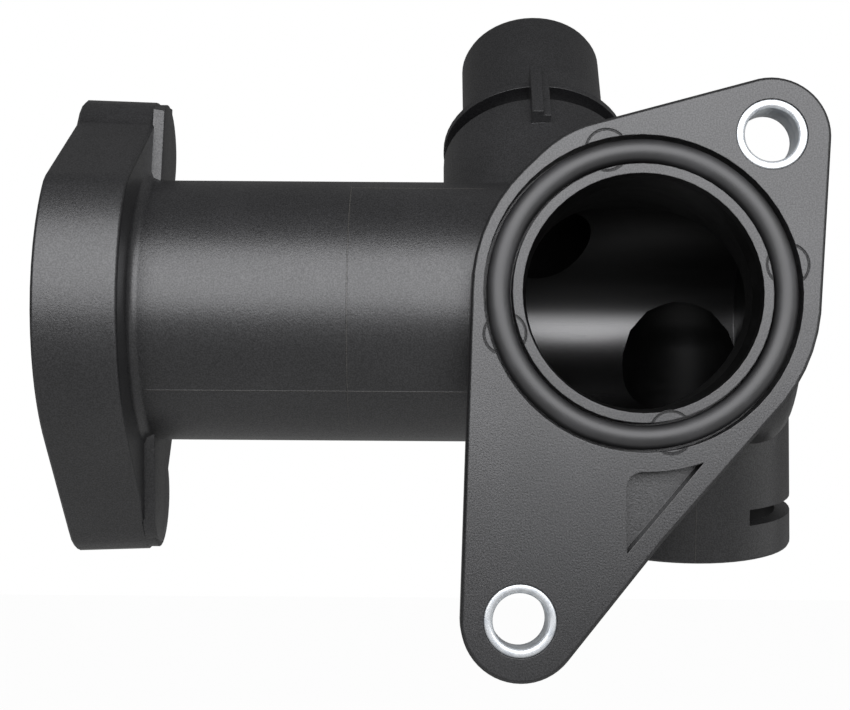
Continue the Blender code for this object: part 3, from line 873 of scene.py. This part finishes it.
@dataclass
class Housing:
    """The moulded housing."""

    node: str = "housing"
    sharp_angle: float = 50.0
    hole_radius: float = 4.85 * MM
    bush_radius: float = 4.57 * MM
    bolts: tuple[Span, ...] = ((16.35 * MM, 20.2 * MM), (-15.35 * MM, -40.8 * MM))
    plate_back: float = 6.0 * MM
    mouth_radius: float = 14.5 * MM
    mouth_step: float = 2.2 * MM
    mouth_slope_end: float = 3.9 * MM
    near: float = 0.06 * MM
    bores: tuple[RoundWall, ...] = (
        RoundWall(*PIPE, 15.0 * MM, -76.2 * MM, 21.0 * MM),
        RoundWall(*PORT, 15.2 * MM, 0.3 * MM, 24.0 * MM),
        RoundWall(*NOZZLE, 8.5 * MM, 8.0 * MM, 50.2 * MM),
        RoundWall(*SENSOR, 14.4 * MM, 0.0, 27.1 * MM),
        RoundWall(*SENSOR, 9.3 * MM, -8.0 * MM, 27.1 * MM),
    )
    barrels: tuple[RoundWall, ...] = (
        RoundWall(*PIPE, 18.4 * MM, -64.0 * MM, 21.0 * MM),
        RoundWall(*NOZZLE, 17.0 * MM, 8.0 * MM, 50.2 * MM),
        RoundWall(*SENSOR, 18.5 * MM, -3.0 * MM, 27.1 * MM),
    )

    def close_gaps(self, mesh: Mesh) -> None:
        """Bring the plate's two holes in to the bushes, which the plastic is moulded round.

        Args:
            mesh: Joined housing mesh.
        """
        for x, z in self.bolts:
            for vertex in mesh.vertices:
                across = Vector((vertex.co.x - x, 0.0, vertex.co.z - z))
                if vertex.co.y < self.plate_back and abs(across.length - self.hole_radius) < self.near:
                    across *= self.bush_radius / across.length
                    vertex.co = Vector((x + across.x, vertex.co.y, z + across.z))

    def slope_mouth(self, mesh: Mesh) -> None:
        """Turn the flat step inside the port's mouth into the lead-in slope of the moulding.

        Args:
            mesh: Joined housing mesh.
        """
        for vertex in mesh.vertices:
            radius = math.hypot(vertex.co.x, vertex.co.z)
            if abs(radius - self.mouth_radius) < self.near and abs(vertex.co.y - self.mouth_step) < self.near:
                vertex.co.y = self.mouth_slope_end

    def dress(self, mesh: Mesh, material: Material, core: Material) -> None:
        """Give the walls of the bores their own finish, whose darkened colour is painted shade.

        Args:
            mesh: Joined housing mesh.
            material: Moulded plastic.
            core: Plastic of the bores, its colour darkened into painted shade.
        """
        mesh.materials.append(material)
        mesh.materials.append(core)
        for face in mesh.polygons:
            face.material_index = int(any(bore.holds(face.center) for bore in self.bores))

    def round_walls(self, mesh: Mesh) -> None:
        """Turn the shading of the round walls' facets exactly round their axes.

        Args:
            mesh: Joined housing mesh, already shaded by patches.
        """
        normals = [corner.vector.copy() for corner in mesh.corner_normals]
        for face in mesh.polygons:
            wall = next((wall for wall in self.bores + self.barrels if wall.lines(face)), None)
            if wall is None:
                continue
            for index in face.loop_indices:
                inward = wall.inward(mesh.vertices[mesh.loops[index].vertex_index].co).normalized()
                normals[index] = inward if inward.dot(face.normal) > 0.0 else -inward
        mesh.normals_split_custom_set(normals)

    def build(self, material: Material, core: Material) -> None:
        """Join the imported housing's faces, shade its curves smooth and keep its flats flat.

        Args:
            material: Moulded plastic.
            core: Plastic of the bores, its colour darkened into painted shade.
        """
        piece = merged_copy(self.node, "housing_shell")
        self.close_gaps(piece.data)
        self.slope_mouth(piece.data)
        shade_by_patches(piece.data, self.sharp_angle)
        self.round_walls(piece.data)
        self.dress(piece.data, material, core)
        place_piece(piece, material, Slot.PLASTIC, self.node)


@dataclass
class FlangePad:
    """Straight-sided pad behind one lug of the pipe flange."""

    name: str
    outline: tuple[Span, ...]
    base_x: float = -65.75 * MM
    height: float = 1.62 * MM
    draft: float = 0.3 * MM
    edge: float = 0.14 * MM
    edge_steps: int = 3

    def build(self, material: Material) -> None:
        """Raise the pad from the lug's back face, with a small draft on its sides.

        Args:
            material: Moulded plastic.
        """
        points = [Vector((0.0, y * MM, z * MM)) for y, z in self.outline]
        middle = sum(points, Vector()) / len(points)
        solid = bmesh.new()
        base = [solid.verts.new((self.base_x, point.y, point.z)) for point in points]
        crown = []
        for point in points:
            inwards = (middle - point).normalized() * self.draft
            crown.append(solid.verts.new(point + inwards + Vector((self.base_x + self.height, 0.0, 0.0))))
        solid.faces.new(base)
        top = solid.faces.new(crown[::-1])
        for first, second, third, fourth in zip(base, base[1:] + base[:1], crown[1:] + crown[:1], crown):
            solid.faces.new((first, second, third, fourth))
        bmesh.ops.recalc_face_normals(solid, faces=solid.faces)
        bmesh.ops.bevel(solid, geom=list(top.edges), offset=self.edge, segments=self.edge_steps,
                        affect='EDGES', profile=0.5)
        mesh = bpy.data.meshes.new(self.name)
        solid.to_mesh(mesh)
        solid.free()
        smooth_by_angle(mesh)
        place_piece(linked(self.name, mesh), material, Slot.PLASTIC)


@dataclass
class EjectorRings:
    """Thin witness rings that the ejector pins left on the mating face, broken by the seal's groove."""

    places: tuple[Span, ...]
    mark_radius: float
    line_radius: float = 0.06 * MM
    groove_inner: float = 16.3 * MM
    groove_outer: float = 20.1 * MM
    turn_steps: int = 120
    line_steps: int = 8

    def tree(self) -> NodeTree:
        """Make the Geometry Nodes tree that draws one broken ring round each point.

        Returns:
            Tree with named inputs for the rings' sizes and material.
        """
        tree = bpy.data.node_groups.new("ejector_rings", 'GeometryNodeTree')
        face = tree.interface
        face.new_socket("Points", in_out='INPUT', socket_type='NodeSocketGeometry')
        for label, value in (("Mark Radius", self.mark_radius), ("Line Radius", self.line_radius),
                             ("Groove Inner", self.groove_inner), ("Groove Outer", self.groove_outer)):
            face.new_socket(label, in_out='INPUT', socket_type='NodeSocketFloat').default_value = value
        face.new_socket("Finish", in_out='INPUT', socket_type='NodeSocketMaterial')
        face.new_socket("Rings", in_out='OUTPUT', socket_type='NodeSocketGeometry')
        sheet = NodeSheet(tree)
        given, result = sheet.add("NodeGroupInput").outputs, sheet.add("NodeGroupOutput")
        circle = sheet.put("GeometryNodeMeshCircle",
                           {"Vertices": self.turn_steps, "Radius": given["Mark Radius"]})
        upright = sheet.put("GeometryNodeTransform",
                            {"Geometry": circle, "Rotation": (math.pi / 2.0, 0.0, 0.0)})
        spread = sheet.put("GeometryNodeInstanceOnPoints", {"Points": given["Points"], "Instance": upright})
        real = sheet.put("GeometryNodeRealizeInstances", {"Geometry": spread})
        place = sheet.put("GeometryNodeInputPosition", {})
        flat = sheet.vector('MULTIPLY', place, (1.0, 0.0, 1.0))
        reach = sheet.vector('LENGTH', flat)
        over_groove = sheet.product(sheet.math('GREATER_THAN', reach, given["Groove Inner"]),
                                    sheet.math('LESS_THAN', reach, given["Groove Outer"]))
        cut = sheet.put("GeometryNodeDeleteGeometry", {"Geometry": real, "Selection": over_groove})
        path = sheet.put("GeometryNodeMeshToCurve", {"Mesh": cut})
        section = sheet.put("GeometryNodeCurvePrimitiveCircle",
                            {"Resolution": self.line_steps, "Radius": given["Line Radius"]})
        burr = sheet.put("GeometryNodeCurveToMesh",
                         {"Curve": path, "Profile Curve": section, "Fill Caps": True})
        smooth = sheet.put("GeometryNodeSetShadeSmooth", {"Geometry": burr})
        last = sheet.put("GeometryNodeRealizeInstances", {"Geometry": smooth})
        finish = sheet.put("GeometryNodeSetMaterial", {"Geometry": last, "Material": given["Finish"]})
        sheet.feed(result.inputs["Rings"], finish)
        return tree

    def build(self, material: Material) -> None:
        """Draw the rings and keep them as a plain mesh.

        Args:
            material: Moulded plastic.
        """
        points = bpy.data.meshes.new("ejector_points")
        points.from_pydata([(x, 0.0, z) for x, z in self.places], [], [])
        piece = linked("ejector_rings", points)
        tree = self.tree()
        rings = piece.modifiers.new("rings", 'NODES')
        rings.node_group = tree
        for item in tree.interface.items_tree:
            if item.name == "Finish" and item.in_out == 'INPUT':
                rings[item.identifier] = material
        bpy.context.view_layer.update()
        mesh = bpy.data.meshes.new_from_object(piece.evaluated_get(bpy.context.evaluated_depsgraph_get()))
        piece.modifiers.remove(rings)
        piece.data = mesh
        joined = bmesh.new()
        joined.from_mesh(mesh)
        bmesh.ops.recalc_face_normals(joined, faces=joined.faces)
        joined.to_mesh(mesh)
        joined.free()
        place_piece(piece, material, Slot.PLASTIC)


@dataclass
class SealRing:
    """Round rubber ring that stands proud of its packed place, as before it is squeezed."""

    name: str
    node: str
    axis: Vector
    section_steps: int = 28
    turn_steps: int = 160
    swell: float = 0.04 * MM
    proud: float = 0.55 * MM

    def build(self, material: Material) -> None:
        """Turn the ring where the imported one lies.

        Args:
            material: Seal rubber.
        """
        low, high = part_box(self.node)
        centre = (low + high) / 2.0 + self.axis * self.proud
        size = high - low
        section = min(size) / 2.0
        radius = max(size) / 2.0 - section
        points = arc((radius, 0.0), section + self.swell, 0.0, 360.0, self.section_steps)[:-1]
        mesh = turned(points, self.turn_steps, centre, self.axis)
        mesh.shade_smooth()
        place_piece(linked(self.name, mesh), material, Slot.RUBBER, self.node)


@dataclass
class SteelBush:
    """Turned bush or threaded insert with rounded lips."""

    name: str
    node: str
    axis: Vector
    bore_radius: float
    lip: float = 0.28 * MM
    lip_steps: int = 4
    bore_lip: float = 0.55 * MM
    bore_lip_steps: int = 5
    turn_steps: int = 96
    thread_pitch: float = 0.0
    thread_depth: float = 0.45

    def build(self, material: Material) -> None:
        """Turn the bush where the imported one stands.

        Args:
            material: Plated or bare metal.
        """
        low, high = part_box(self.node)
        outer = (high - low).z / 2.0 - self.lip
        half = abs((high - low).dot(self.axis)) / 2.0
        inner = self.bore_radius + self.bore_lip
        back = -half + self.bore_lip
        points = arc((outer, half - self.lip), self.lip, 90.0, 0.0, self.lip_steps)
        points += arc((outer, -half + self.lip), self.lip, 0.0, -90.0, self.lip_steps)
        points += arc((inner, back), self.bore_lip, -90.0, -180.0, self.bore_lip_steps)
        points += self.bore_points(half)
        points += arc((inner, -back), self.bore_lip, 180.0, 90.0, self.bore_lip_steps)
        mesh = turned(points, self.turn_steps, (low + high) / 2.0, self.axis)
        smooth_by_angle(mesh)
        place_piece(linked(self.name, mesh), material, Slot.STEEL, self.node)

    def bore_points(self, half: float) -> list[Span]:
        """Points down the bore: plain, or with the crests of a thread.

        Args:
            half: Half the bush's length.

        Returns:
            The points from the back to the front.
        """
        if not self.thread_pitch:
            return []
        points = []
        start = -half + self.bore_lip
        count = int((2.0 * half - 2.0 * self.bore_lip) / self.thread_pitch)
        for turn in range(count):
            root = start + (turn + 0.5) * self.thread_pitch
            points.append((self.bore_radius + self.thread_depth * self.thread_pitch, root))
            points.append((self.bore_radius, root + 0.5 * self.thread_pitch))
        return points


@dataclass
class Studio:
    """White surroundings, a large soft lamp in front, a weak one at the right, and the camera."""

    camera_place: Vector = field(default_factory=lambda: Vector((-27.28, -180.06, -22.24)) * MM)
    camera_rise: float = 4.5
    camera_roll: float = 0.4
    lens: float = 61.41
    lamp_low_edge: Vector = field(default_factory=lambda: Vector((-10.0, -200.0, -20.0)) * MM)
    lamp_tilt: float = 26.0
    lamp_width: float = 0.36
    lamp_height: float = 0.195
    lamp_radiance: float = 2.65
    lamp_colour: Colour = (0.975, 0.975, 1.0)
    fill_place: Vector = field(default_factory=lambda: Vector((460.0, -60.0, 60.0)) * MM)
    fill_size: float = 0.5
    fill_radiance: float = 0.31
    sky_level: float = 0.3
    reflection_share: float = 0.13
    floor_height: float = -0.3
    floor_half: float = 3.0
    floor_white: float = 0.86
    floor_colour: Colour = (0.4, 0.4, 0.4)
    floor_roughness: float = 0.9

    def build_camera(self) -> None:
        """Put the camera at the photograph's viewing angle."""
        rise = math.radians(self.camera_rise)
        roll = math.radians(self.camera_roll)
        forward = Vector((0.0, math.cos(rise), math.sin(rise)))
        level_up = Vector((0.0, -math.sin(rise), math.cos(rise)))
        level_right = Vector((1.0, 0.0, 0.0))
        right = math.cos(roll) * level_right + math.sin(roll) * level_up
        up = -math.sin(roll) * level_right + math.cos(roll) * level_up
        data = bpy.data.cameras.new("photo_camera")
        data.lens = self.lens
        data.clip_start = 0.01
        camera = bpy.data.objects.new("photo_camera", data)
        turn = Matrix((right, up, -forward)).transposed().to_4x4()
        camera.matrix_world = Matrix.Translation(self.camera_place) @ turn
        bpy.context.scene.collection.objects.link(camera)
        bpy.context.scene.camera = camera

    def build_lamp(self) -> None:
        """Hang the soft lamp in front of the flange, tilted down towards it."""
        tilt = math.radians(self.lamp_tilt)
        rising = Vector((0.0, math.sin(tilt), math.cos(tilt)))
        data = bpy.data.lights.new("softbox", 'AREA')
        data.shape = 'RECTANGLE'
        data.size = self.lamp_width
        data.size_y = self.lamp_height
        data.energy = self.lamp_radiance * math.pi * self.lamp_width * self.lamp_height
        data.color = self.lamp_colour
        lamp = bpy.data.objects.new("softbox", data)
        shining = Vector((0.0, math.cos(tilt), -math.sin(tilt)))
        turn = Matrix((Vector((1.0, 0.0, 0.0)), rising, -shining)).transposed().to_4x4()
        centre = self.lamp_low_edge + rising * self.lamp_height / 2.0
        lamp.matrix_world = Matrix.Translation(centre) @ turn
        bpy.context.scene.collection.objects.link(lamp)

    def build_fill(self) -> None:
        """Hang a weak square lamp at the right, level with the flange."""
        data = bpy.data.lights.new("side_fill", 'AREA')
        data.size = self.fill_size
        data.energy = self.fill_radiance * math.pi * self.fill_size ** 2
        lamp = bpy.data.objects.new("side_fill", data)
        turn = (-self.fill_place).to_track_quat('-Z', 'Y').to_matrix().to_4x4()
        lamp.matrix_world = Matrix.Translation(self.fill_place) @ turn
        bpy.context.scene.collection.objects.link(lamp)

    def seen_mask(self, sheet: NodeSheet, white: float) -> NodeSocket:
        """Find the rays that show the background: those of the camera, of glass and of reflections.

        Args:
            sheet: Nodes of the floor or the world.
            white: Strength that the camera and glass see.

        Returns:
            1 for the camera and glass, and the reflections' share for them.
        """
        path = sheet.add("ShaderNodeLightPath")
        direct = sheet.math('MAXIMUM', path.outputs["Is Camera Ray"], path.outputs["Is Transmission Ray"])
        shine = sheet.product(path.outputs["Is Glossy Ray"], self.reflection_share)
        return sheet.math('MAXIMUM', sheet.product(direct, white), shine)

    def build_world(self) -> None:
        """Surround the flange with plain white that lights it only a little."""
        world = bpy.data.worlds.new("white_room")
        world.use_nodes = True
        sheet = NodeSheet(world.node_tree)
        background = world.node_tree.nodes["Background"]
        background.inputs["Color"].default_value = (1.0, 1.0, 1.0, 1.0)
        seen = self.seen_mask(sheet, 1.0)
        path = sheet.add("ShaderNodeLightPath")
        plain = sheet.product(path.outputs["Is Diffuse Ray"], self.sky_level)
        sheet.feed(background.inputs["Strength"], sheet.math('MAXIMUM', seen, plain))
        bpy.context.scene.world = world

    def build_floor(self) -> None:
        """Lay the pale floor well below the flange, which its mount holds up."""
        plane = bmesh.new()
        corners = [(-1, -1), (1, -1), (1, 1), (-1, 1)]
        plane.faces.new([plane.verts.new((x * self.floor_half, y * self.floor_half, self.floor_height))
                         for x, y in corners])
        mesh = bpy.data.meshes.new("floor")
        plane.to_mesh(mesh)
        plane.free()
        floor = linked("floor", mesh)
        material, sheet, shader = new_material(Finish.PALE_FLOOR)
        sheet.fill(shader, {
            "Base Color": (*self.floor_colour, 1.0), "Roughness": self.floor_roughness,
            "Emission Color": (1.0, 1.0, 1.0, 1.0),
            "Emission Strength": self.seen_mask(sheet, self.floor_white)})
        mesh.materials.append(material)

    def build(self) -> None:
        """Set up everything round the flange."""
        self.build_camera()
        self.build_lamp()
        self.build_fill()
        self.build_world()
        self.build_floor()
        bpy.context.scene.view_settings.view_transform = 'Standard'


@dataclass
class CoolantFlange:
    """The whole flange."""

    housing: Housing = field(default_factory=Housing)
    face_out: Vector = field(default_factory=lambda: Vector((0.0, -1.0, 0.0)))
    pipe_out: Vector = field(default_factory=lambda: Vector((-1.0, 0.0, 0.0)))
    pipe_ring_proud: float = 0.1 * MM
    bush_bore: float = 3.38 * MM
    insert_bore: float = 2.5 * MM
    insert_pitch: float = 1.0 * MM
    upper_pad: tuple[Span, ...] = (
        (18.6, 15.5), (20.8, 28.1), (22.6, 29.2), (27.0, 29.8), (27.0, 15.5))
    lower_pad: tuple[Span, ...] = (
        (17.9, -16.0), (20.0, -30.2), (22.0, -32.0), (27.0, -32.9), (27.0, -16.0))

    def build(self) -> None:
        """Dress every piece."""
        effects = SharedEffects()
        plastic = PlasticFinish().build(effects)
        rubber, zinc, brass = (finish.build(effects) for finish in (RUBBER, ZINC, BRASS))
        self.housing.build(plastic, CoreFinish().build(effects))
        FlangePad("upper_flange_pad", self.upper_pad).build(plastic)
        FlangePad("lower_flange_pad", self.lower_pad).build(plastic)
        ring_radius = PlasticFinish.ejector_radius + PlasticFinish.mark_half_width
        EjectorRings(PlasticFinish.ejectors, ring_radius).build(plastic)
        SealRing("engine_port_ring", "engine_port_seal", self.face_out).build(rubber)
        SealRing("pipe_flange_ring", "pipe_flange_seal", self.pipe_out,
                 proud=self.pipe_ring_proud).build(rubber)
        for side in ("upper", "lower"):
            SteelBush(f"{side}_plate_sleeve", f"{side}_plate_bush", self.face_out, self.bush_bore).build(zinc)
            SteelBush(f"{side}_pipe_flange_nut", f"{side}_pipe_flange_insert", self.pipe_out,
                      self.insert_bore, thread_pitch=self.insert_pitch).build(brass)


def main() -> None:
    """Build the flange and its studio."""
    logging.basicConfig(level=logging.INFO, format="%(name)s %(message)s")
    CoolantFlange().build()
    Studio().build()


if __name__ == "__main__":
    main()
